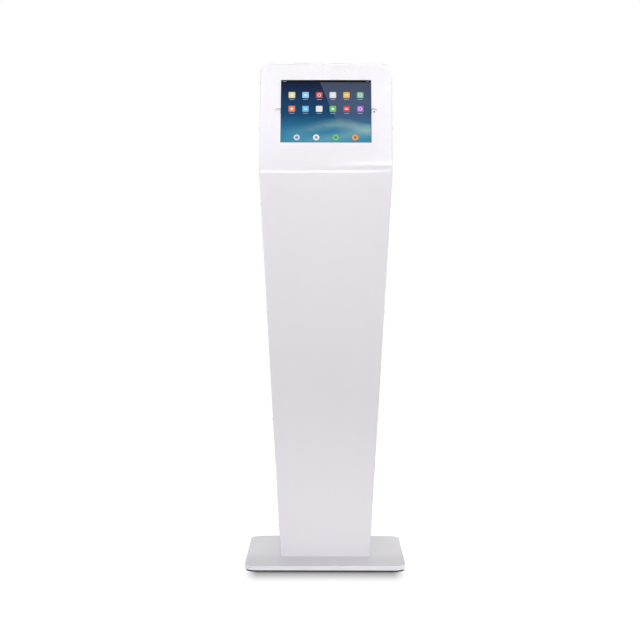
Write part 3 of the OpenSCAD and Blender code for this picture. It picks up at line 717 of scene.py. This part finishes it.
def rounded_plate(name, inset, low, high, top_rim, foot_rim):
    """A square plate with round corners, eased rims and holes for the floor anchors."""
    half = BASE_W / 2 - inset
    plate = block(name, (-half, -half, low), (half, half, high))
    pick(plate, "EDGE", lambda e: abs(e.verts[0].co.z - e.verts[1].co.z) > TOUCH)
    bevel(BASE_R - inset, segments=18)
    ease(plate, TOP, UPRIGHT, top_rim * MM, segments=4)
    ease(plate, UNDERSIDE, UPRIGHT, foot_rim * MM, segments=4)
    for x in (-ANCHOR_X, ANCHOR_X):
        for y in ANCHOR_Y:
            begin()
            bpy.ops.mesh.primitive_cylinder_add(
                vertices=32, radius=ANCHOR_R, depth=ANCHOR_CUT, location=(x, y, low)
            )
            cut(plate, bpy.context.object)
    smooth(plate)
    return plate


rubber_mat = rounded_plate("rubber_mat", MAT_INSET, 0.0, MAT_T, top_rim=0.3, foot_rim=0.6)
base_lower = rounded_plate("base_lower", 0.0, MAT_T, SEAT_Z, top_rim=1.3, foot_rim=0.6)
base_upper = rounded_plate("base_upper", 0.0, SEAT_Z, DECK_Z, top_rim=1.8, foot_rim=1.3)
fit(rubber_mat, "frame", "black_rubber", "black_rubber", "floor_mat")
fit(base_lower, "frame", "base_coat", "white_coat", "base_plate")
fit(base_upper, "frame", "base_coat", "white_coat", "base_cover")


# ---- Front shell ----

# Bends sharper than this, in radians, are rounded to the bend's radius
SHARP_BEND, BEND_R = 0.8, 2.0 * MM
# Half the depth of what cuts the openings
CUT_D = 20 * MM


def inward(point):
    """The way in from the front face at a point of the folded sheet."""
    level = 1e-6
    if point.z <= FOLD_Z + level:
        return Vector((0, 1, 0))
    local = HEAD.inverted() @ point
    if local.z > -level:
        return HEAD.to_3x3() @ Vector((0, 1, 0))
    axis = Vector((point.x, FRONT_Y + FOLD_R, FOLD_Z))
    return (axis - point).normalized()


def folded_sheet():
    """A flat front that tapers, bends round the fold and leans back to two round corners."""
    begin()
    bpy.ops.mesh.primitive_plane_add(
        size=1, location=(0, FRONT_Y, (DECK_Z + FOLD_Z) / 2), rotation=(math.pi / 2, 0, 0)
    )
    sheet = bpy.context.object
    sheet.name = sheet.data.name = "front_shell"
    sheet.scale = (BODY_W, FOLD_Z - DECK_Z, 1)
    settle(sheet)
    pick(sheet, "VERT", lambda v: v.co.z < FOLD_Z / 2)
    bpy.ops.transform.resize(value=(FOOT_W / BODY_W, 1, 1), center_override=(0, FRONT_Y, DECK_Z))
    pick(sheet, "EDGE", lambda e: all(v.co.z > FOLD_Z - TOUCH for v in e.verts))
    bpy.ops.mesh.spin(steps=16, angle=TILT, center=(0, FRONT_Y + FOLD_R, FOLD_Z), axis=(1, 0, 0))
    done()
    top = max(v.co.z for v in sheet.data.vertices)
    pick(sheet, "EDGE", lambda e: all(v.co.z > top - TOUCH for v in e.verts))
    bpy.ops.mesh.extrude_region_move(TRANSFORM_OT_translate={"value": SLOPE * HEAD_L})
    done()
    top = max(v.co.z for v in sheet.data.vertices)
    pick(sheet, "VERT", lambda v: v.co.z > top - TOUCH)
    bevel(CORNER_R, segments=14, affect="VERTICES")
    pick(sheet, "VERT", lambda v: True)
    bpy.ops.mesh.remove_doubles(threshold=1e-6)
    return sheet


def front_shell():
    """One sheet: a tapered column, a round fold and the leaning head, with edges folded back."""
    shell = folded_sheet()
    above_deck = DECK_Z + 0.1 * MM
    pick(shell, "EDGE", lambda e: e.is_boundary and any(v.co.z > above_deck for v in e.verts))
    bpy.ops.mesh.extrude_region_move(TRANSFORM_OT_translate={"value": (0, 0, 0)})
    shape = bmesh.from_edit_mesh(shell.data)
    for corner in [v for v in shape.verts if v.select]:
        corner.co += inward(corner.co) * RETURN_D
    bmesh.update_edit_mesh(shell.data)
    bpy.ops.mesh.select_all(action="SELECT")
    bpy.ops.mesh.normals_make_consistent(inside=False)
    done()
    front = max(shell.data.polygons, key=lambda f: f.area)
    if front.normal.y > 0:
        pick(shell, "FACE", lambda f: True)
        bpy.ops.mesh.flip_normals()
    pick(shell, "EDGE", lambda e: len(e.link_faces) == 2 and e.calc_face_angle() > SHARP_BEND)
    bevel(BEND_R, segments=5)
    done()
    finish_with(
        shell, "SOLIDIFY", thickness=PANEL_T, offset=-1.0,
        use_even_offset=True, use_quality_normals=True,
    )
    half_w, half_h, reach = WINDOW_W / 2, WINDOW_H / 2, PORT_X + PORT_R
    window = block(
        "window_cutter",
        (-half_w, -CUT_D, WINDOW_S - half_h), (half_w, CUT_D, WINDOW_S + half_h),
    )
    move(window, HEAD)
    cut(shell, window)
    notch = block(
        "notch_cutter", (-reach, -CUT_D, WINDOW_S - PORT_R), (reach, CUT_D, WINDOW_S + PORT_R)
    )
    pick(notch, "EDGE", lambda e: abs(e.verts[0].co.y - e.verts[1].co.y) > CUT_D)
    bevel(PORT_R * 0.999, segments=12)
    done()
    move(notch, HEAD)
    cut(shell, notch)
    round_edges(shell, 0.5 * MM, 3, angle=50)
    smooth(shell)
    return shell


fit(front_shell(), "frame", "shell_coat_edge_shade", "white_coat", "front_panel")


# ---- Chassis and covers ----

for node, width in (
    ("right_channel", 0.5), ("left_channel", 0.5), ("top_channel", 0.5),
    ("cross_rail", 0.4), ("column_back", 0.5),
):
    fit_softened(node, node + "_eased", "frame", "white_coat", width)
fit_softened("tablet_door", "door_leaf", "door", "white_coat", 0.4)
fit_softened("cable_grommet", "outlet_ring", "frame", "black_rubber", 1.0, segments=3)


# ---- Screws ----

SCREW_R, SCREW_H, DOME_R = 3.6 * MM, 1.3 * MM, 0.95 * MM
# The drive in the head: radii, the socket's floor, and the pin's root, tip and rim
SOCKET_R, SOCKET_Y = 1.45 * MM, -0.55 * MM
PIN_R, PIN_Y, PIN_TIP_Y, PIN_RIM = 0.5 * MM, -0.5 * MM, -1.05 * MM, 0.15 * MM
# Screws on each side: along the column between two ends, and on the head from the window's middle
SIDE_COUNT, SIDE_END = 4, 69 * MM
HEAD_SCREWS = (-36 * MM, 76 * MM)
# Screws on the back: up each edge from the deck, and a pair below the fold
BACK_COUNT, BACK_START, BACK_PITCH, BACK_EDGE = 3, 60 * MM, 260 * MM, 10.7 * MM
FOLD_DROP = 10 * MM


def pin_screw():
    """A tamper-proof screw head along -y: a dome with a six-sided socket and a pin in it."""
    head = rod("pin_screw", SCREW_R, -SCREW_H, 0.0, sides=36)
    ease(head, NEAR_END, ROUND_WALL, DOME_R, segments=4)
    cut(head, rod("socket_cutter", SOCKET_R, -2 * MM, SOCKET_Y, sides=6))
    pin = rod("socket_pin", PIN_R, PIN_TIP_Y, PIN_Y, sides=12)
    ease(pin, NEAR_END, ROUND_WALL, PIN_RIM, segments=2)
    only(head)
    pin.select_set(True)
    bpy.ops.object.join()
    smooth(head)
    return head


def side_places():
    """Along both edges of the column and the head. A screw's -y points out of the side."""
    pitch = (FOLD_Z - DECK_Z - 2 * SIDE_END) / (SIDE_COUNT - 1)
    for side in (1, -1):
        turn = Matrix.Rotation(side * math.pi / 2, 4, "Z")
        lean = Matrix.Rotation(side * SIDE_LEAN, 4, "Y")
        for i in range(SIDE_COUNT):
            z = DECK_Z + SIDE_END + i * pitch
            spot = (side * column_half(z), FRONT_Y + SCREW_D, z)
            yield Matrix.Translation(spot) @ lean @ turn
        for offset in HEAD_SCREWS:
            spot = (side * BODY_W / 2, SCREW_D, WINDOW_S + offset)
            yield HEAD @ Matrix.Translation(spot) @ turn


def back_places():
    """Around the column's back. A screw's -y points backwards."""
    turn = Matrix.Rotation(math.pi, 4, "Z")
    back_y = FRONT_Y + DEPTH
    for side in (1, -1):
        for i in range(BACK_COUNT):
            z = DECK_Z + BACK_START + i * BACK_PITCH
            yield Matrix.Translation((side * (column_half(z) - BACK_EDGE), back_y, z)) @ turn
        yield Matrix.Translation((side * BODY_W / 4, back_y, FOLD_Z - FOLD_DROP)) @ turn


side_screws = copies(pin_screw(), side_places(), "side_screws")
fit(side_screws, "frame", "zinc_steel", "zinc_steel", "panel_screws")
cover_screws = copies(pin_screw(), back_places(), "cover_screws")
fit(cover_screws, "frame", "zinc_steel", "zinc_steel", "back_screws")


# ---- Hinge ----

for node, body in (
    ("hinge_frame_leaf", "frame"), ("hinge_door_leaf", "door"),
    ("hinge_frame_rivets", "frame"), ("hinge_door_rivets", "door"), ("hinge_pin", "frame"),
):
    fit_softened(node, node + "_eased", body, "hinge_steel", 0.25)


# ---- Lock ----

COLLAR_R, COLLAR_T, BARREL_STEP, BARREL_L = 12 * MM, 2 * MM, 2.5 * MM, 6.4 * MM
PLUG_R, PLUG_FIT, PLUG_START = 6 * MM, 0.05 * MM, 43.7 * MM
# The cutter for the bore passes both ends of the barrel
BORE_START, BORE_END = 30 * MM, 70 * MM
COLLAR_D = DOOR_D + COLLAR_T
# The key slot: half its width and height, its floor, and how far its cutters reach out
KEY_W, KEY_H, KEY_D, KEY_OUT = 0.9 * MM, 3.5 * MM, DOOR_D - 1 * MM, DOOR_D + 4 * MM
# The step in the slot's side: how far it reaches, and its lower and upper ends
WARD_W, WARD_LOW, WARD_HIGH = 1.7 * MM, -1.2 * MM, 0.6 * MM


def lock_collar():
    """A turned collar with a dished face, its barrel behind, and the bore for the plug."""
    collar = rod("lock_collar", COLLAR_R, DOOR_D, COLLAR_D, sides=64)
    ease(collar, FAR_END, ROUND_WALL, 0.9 * MM, segments=4)
    pick(collar, "FACE", FAR_END)
    inset_rings(((1.6, 0.0), (0.8, -0.5)))
    pick(collar, "FACE", NEAR_END)
    bpy.ops.mesh.inset(thickness=BARREL_STEP)
    bpy.ops.mesh.extrude_region_move(TRANSFORM_OT_translate={"value": (0, -BARREL_L, 0)})
    done()
    cut(collar, rod("plug_bore", PLUG_R + PLUG_FIT, BORE_START, BORE_END, sides=64))
    smooth(collar)
    move(collar, HEAD @ Matrix.Translation((0, 0, LOCK_S)))
    return collar


def lock_plug():
    """The turning plug with an eased face and a stepped key slot."""
    plug = rod("lock_plug_face", PLUG_R, PLUG_START, COLLAR_D)
    ease(plug, FAR_END, ROUND_WALL, 0.5 * MM, segments=3)
    cut(plug, block("key_cutter", (-KEY_W, KEY_D, -KEY_H), (KEY_W, KEY_OUT, KEY_H)))
    cut(plug, block("ward_cutter", (-WARD_W, KEY_D, WARD_LOW), (0.0, KEY_OUT, WARD_HIGH)))
    round_edges(plug, 0.12 * MM, angle=50)
    smooth(plug)
    move(plug, HEAD @ Matrix.Translation((0, 0, LOCK_S)))
    return plug


fit(lock_collar(), "door", "lock_chrome", "lock_chrome", "lock_barrel")
fit(lock_plug(), "lock", "lock_chrome", "lock_chrome", "lock_plug")
fit_softened("lock_nut", "lock_nut_eased", "door", "zinc_steel", 0.4)
fit_softened("lock_cam", "lock_cam_eased", "lock", "zinc_steel", 0.3)


# ---- Tablet and cradle ----

HOME_R, HOME_T = 5.2 * MM, 1.8 * MM
EYE_R, EYE_T, EYE_RIM, EYE_STEP = 1.7 * MM, 2.2 * MM, 0.45 * MM, 0.3 * MM


def home_key():
    """A round key with an eased edge and a shallow dish."""
    key = rod("home_key", HOME_R, GLASS_D, GLASS_D + HOME_T)
    ease(key, NEAR_END, ROUND_WALL, 0.3 * MM, segments=3)
    pick(key, "FACE", NEAR_END)
    inset_rings(((0.5, 0.0), (0.7, -0.16), (1.0, -0.12), (1.2, -0.08)))
    done()
    smooth(key, angle=30)
    move(key, HEAD @ Matrix.Translation((-PORT_X, 0, WINDOW_S)))
    return key


def camera_eye():
    """A camera eye: a rim, a step down and a domed lens."""
    eye = rod("camera_eye", EYE_R, GLASS_D, GLASS_D + EYE_T, sides=32)
    pick(eye, "FACE", NEAR_END)
    bpy.ops.mesh.inset(thickness=EYE_RIM)
    bpy.ops.mesh.extrude_region_move(TRANSFORM_OT_translate={"value": (0, EYE_STEP, 0)})
    inset_rings(((0.35, 0.12), (0.35, 0.07), (0.3, 0.03)))
    done()
    smooth(eye, angle=40)
    move(eye, HEAD @ Matrix.Translation((PORT_X, 0, WINDOW_S)))
    return eye


fit(home_key(), "home_key", "white_glass", "white_glass", "home_button")
fit(camera_eye(), "frame", "lens_glass", "lens_glass", "camera_lens")
fit_softened("cradle", "cradle_tray", "frame", "black_plastic", 0.5)
fit_softened("tablet_case", "tablet_shell", "frame", "tablet_aluminium", 0.7, segments=3)

# The CAD nodes that still show get the finish of their slot
SLOT_OF = {row["node"]: row["material_slot"] for row in frame["record"]["subparts"]}
for node, part in frame["nodes"].items():
    if not part.hide_render:
        part.data.materials.clear()
        part.data.materials.append(FINISHES[SLOT_OF[node]])


# ---- Floor ----

FLOOR_SIZE, FLOOR_Z = 12.0, -0.0002
# What the floor gives as light, and how white it looks
FLOOR_GLOW, FLOOR_WHITE = 0.57, 0.925
# The painted shadow's reach and depth: soft and wide, then narrow at the contact
SHADOW_REACH, SHADOW_DEPTH = 0.07, 0.71
CONTACT_REACH, CONTACT_DEPTH = 0.008, 0.28
# How far from the middle the painted shadow starts in front and ends at the sides, and how softly
SHADOW_FRONT, FRONT_FADE = 0.17, 0.008
SHADOW_HALF_W, SIDE_FADE = 0.18, 0.03


def floor_paper():
    """White paper with a painted soft shadow that fades away in front of the base, and a painted
    contact shadow along it.
    """
    paper = Finish("floor_paper", Specular_IOR_Level=0.0, Emission_Strength=1.0, Roughness=1.0)
    x, y, _ = paper.parts(paper.place())
    straight = BASE_W / 2 - BASE_R
    over_x, over_y = (abs(x) - straight).most(0.0), (abs(y) - straight).most(0.0)
    gap = ((over_x * over_x + over_y * over_y) ** 0.5 - BASE_R).most(0.0)
    ahead = ((-SHADOW_FRONT - y) / FRONT_FADE).limit()
    between = ((SHADOW_HALF_W - abs(x)) / SIDE_FADE).limit()
    # Painted shadow, darkest where the base meets the floor
    soft = (gap / SHADOW_REACH).bell() * SHADOW_DEPTH
    contact = (gap / CONTACT_REACH).bell() * CONTACT_DEPTH
    shade = 1 - ahead * between * (soft + contact)
    glow = paper.seen() * (shade * FLOOR_WHITE - FLOOR_GLOW) + FLOOR_GLOW
    paper.give(Base_Color=(0.3, 0.3, 0.3), Emission_Color=glow)
    return paper.material


begin()
bpy.ops.mesh.primitive_plane_add(size=FLOOR_SIZE, location=(0, 0, FLOOR_Z))
floor = bpy.context.object
floor.name = "floor"
settle(floor)
floor.data.materials.append(floor_paper())


# ---- Light ----

AMBIENT = 0.18
GLOW_HEIGHT, GLOW_FOCUS, GLOW_LEVEL = math.radians(41), 12.0, 0.95


def studio_sky():
    """White where it is seen. As a light, a soft grey room that glows high in front."""
    world = bpy.data.worlds.new("studio")
    bpy.context.scene.world = world
    room = Recipe(world, "BACKGROUND")
    way = room.add("ShaderNodeTexCoord", out="Generated")
    toward = (0.0, -math.cos(GLOW_HEIGHT), math.sin(GLOW_HEIGHT))
    facing = room.add(
        "ShaderNodeVectorMath", {"operation": "DOT_PRODUCT"}, {0: way, 1: toward}, out="Value"
    )
    light = facing.most(0.0) ** GLOW_FOCUS * GLOW_LEVEL + AMBIENT
    seen = room.seen()
    room.give(Color=(1.0, 1.0, 1.0), Strength=seen + (1 - seen) * light)


def soft_lamp(name, start, target, size, watts, beam=180):
    """A flat lamp that looks at a target, with its beam's width in degrees."""
    begin()
    bpy.ops.object.light_add(type="AREA", location=start)
    lamp = bpy.context.object
    lamp.name = name
    lamp.data.shape = "RECTANGLE"
    lamp.data.size, lamp.data.size_y = size
    lamp.data.energy = watts
    lamp.data.spread = math.radians(beam)
    lamp.rotation_euler = (Vector(target) - lamp.location).to_track_quat("-Z", "Y").to_euler()


studio_sky()
# Lamps in pairs: the right one's place, the target, the size, the beam, and watts left and right
for name, place, target, size, beam, watts in (
    ("edge_light", (0.72, -0.72, 0.02), (0, -0.18, 0.012), (0.3, 0.03), 45, (0.08, 0.13)),
    ("fill", (0.95, -2.5, 0.6), (0, FRONT_Y, 0.85), (0.3, 0.6), 70, (0.8, 0.85)),
    ("back_light", (1.75, 1.47, 0.74), (0, 0, 0.4), (2.0, 1.0), 180, (15.5, 23.0)),
):
    x, y, z = place
    soft_lamp("left_" + name, (-x, y, z), target, size, watts[0], beam)
    soft_lamp("right_" + name, (x, y, z), target, size, watts[1], beam)
soft_lamp("head_top_light", (0, -0.42, 2.24), (0, -0.02, 1.01), (0.8, 0.06), 0.42, beam=20)
# The fold mirrors these: a thin line on the left and a wedge on the right
FOLD_LAMP_Y = -2.1
soft_lamp(
    "low_strip", (-0.115, FOLD_LAMP_Y, 1.145), (-0.115, FRONT_Y, 0.885), (0.57, 0.045), 5.0
)
for step in range(3):
    x, z = 0.23 + 0.055 * step, 2.2 + 0.12 * step
    soft_lamp("wedge_%d" % step, (x, FOLD_LAMP_Y, z), (x, FRONT_Y, 0.90), (0.4, 0.1), 1.6)


# ---- Camera ----

CAMERA_PLACE = (0, -3.462, 0.7006)
CAMERA_LENS, SENSOR_W = 84.94, 36.0
CAMERA_PITCH, CAMERA_ROLL = math.radians(2.5575), math.radians(0.111)
# How far the picture is shifted sideways, and its width, both in pixels
PHOTO_SHIFT, PHOTO_W = -5.615, 640

begin()
bpy.ops.object.camera_add(location=CAMERA_PLACE)
camera = bpy.context.object
camera.name = "camera"
pitch = Matrix.Rotation(math.pi / 2 - CAMERA_PITCH, 4, "X")
camera.rotation_euler = (pitch @ Matrix.Rotation(CAMERA_ROLL, 4, "Z")).to_euler()
camera.data.sensor_fit = "HORIZONTAL"
camera.data.sensor_width = SENSOR_W
camera.data.lens = CAMERA_LENS
camera.data.shift_x = PHOTO_SHIFT / PHOTO_W
bpy.context.scene.camera = camera
bpy.context.scene.view_settings.view_transform = "Standard"

begin()
